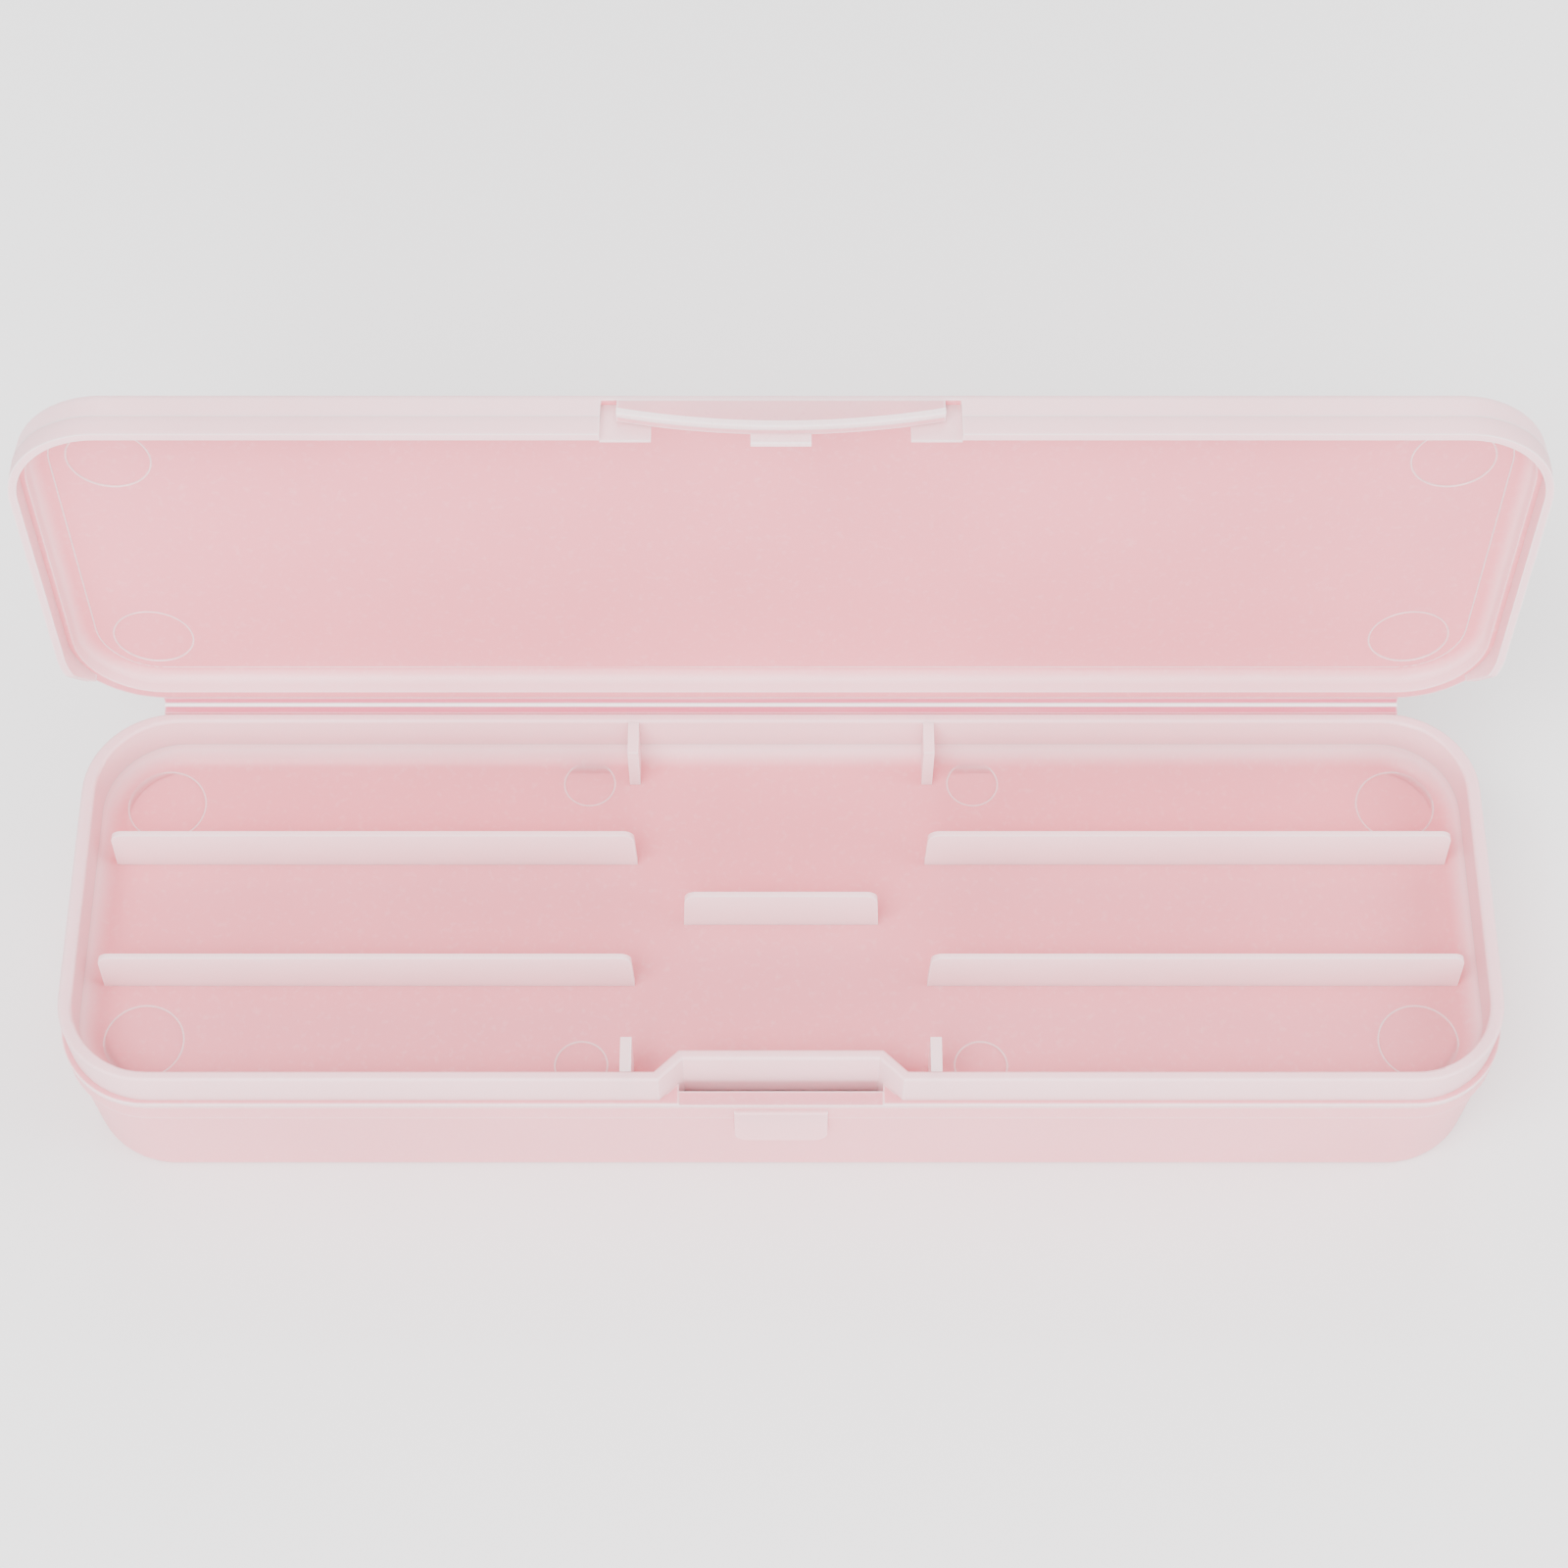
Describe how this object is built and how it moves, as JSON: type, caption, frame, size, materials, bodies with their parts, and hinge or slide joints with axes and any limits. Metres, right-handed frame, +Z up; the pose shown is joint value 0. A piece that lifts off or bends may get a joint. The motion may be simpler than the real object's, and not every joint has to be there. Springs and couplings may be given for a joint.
{
  "type": "pencil case",
  "caption": "Slim translucent pencil case with a ribbed tray, a lower box, a lid on a living hinge and a springy thumb catch.",
  "frame": {"origin": "middle of the case's underside, on the face it rests on", "axes": "+X along the case, -Y towards the catch at the front, +Z up, with the lid standing open at the back"},
  "size_m": [0.2, 0.07, 0.0902],
  "materials": {
    "tray_plastic": "frosted",
    "box_plastic": "frosted",
    "lid_plastic": "frosted",
    "catch_plastic": "satin",
    "hinge_strip": "satin"
  },
  "bodies": {
    "tray": {"tray_shell": "tray_plastic", "tray_rim": "tray_plastic", "lower_box": "box_plastic", "press_pad": "box_plastic", "centre_rib": "tray_plastic", "hinge_flange_tray": "hinge_strip", "hinge_crease": "hinge_strip", "divider_rib_left_front": "tray_plastic", "divider_rib_right_front": "tray_plastic", "stop_rib_left_front": "tray_plastic", "stop_rib_right_front": "tray_plastic", "divider_rib_left_back": "tray_plastic", "divider_rib_right_back": "tray_plastic", "stop_rib_left_back": "tray_plastic", "stop_rib_right_back": "tray_plastic"},
    "lid": {"lid_shell": "lid_plastic", "lid_skirt_left": "lid_plastic", "lid_skirt_right": "lid_plastic", "window_ledge_left": "lid_plastic", "window_ledge_right": "lid_plastic", "hinge_flange_lid": "hinge_strip"},
    "latch": {"thumb_tab": "catch_plastic", "tab_lip": "catch_plastic", "latch_web": "catch_plastic", "latch_tongue": "catch_plastic"}
  },
  "joints": [
    {"name": "lid_hinge", "type": "hinge", "parent": "tray", "child": "lid", "pos_m": [0, 0.0301, 0.029], "axis": [-1, 0, 0], "range_deg": [-95.5, 84.5]},
    {"name": "latch_flex", "type": "hinge", "parent": "lid", "child": "latch", "pos_m": [0, 0.0387, 0.0886], "axis": [-1, 0, 0], "range_deg": [0, 10], "stiffness_Nm_per_rad": 0.05}
  ]
}
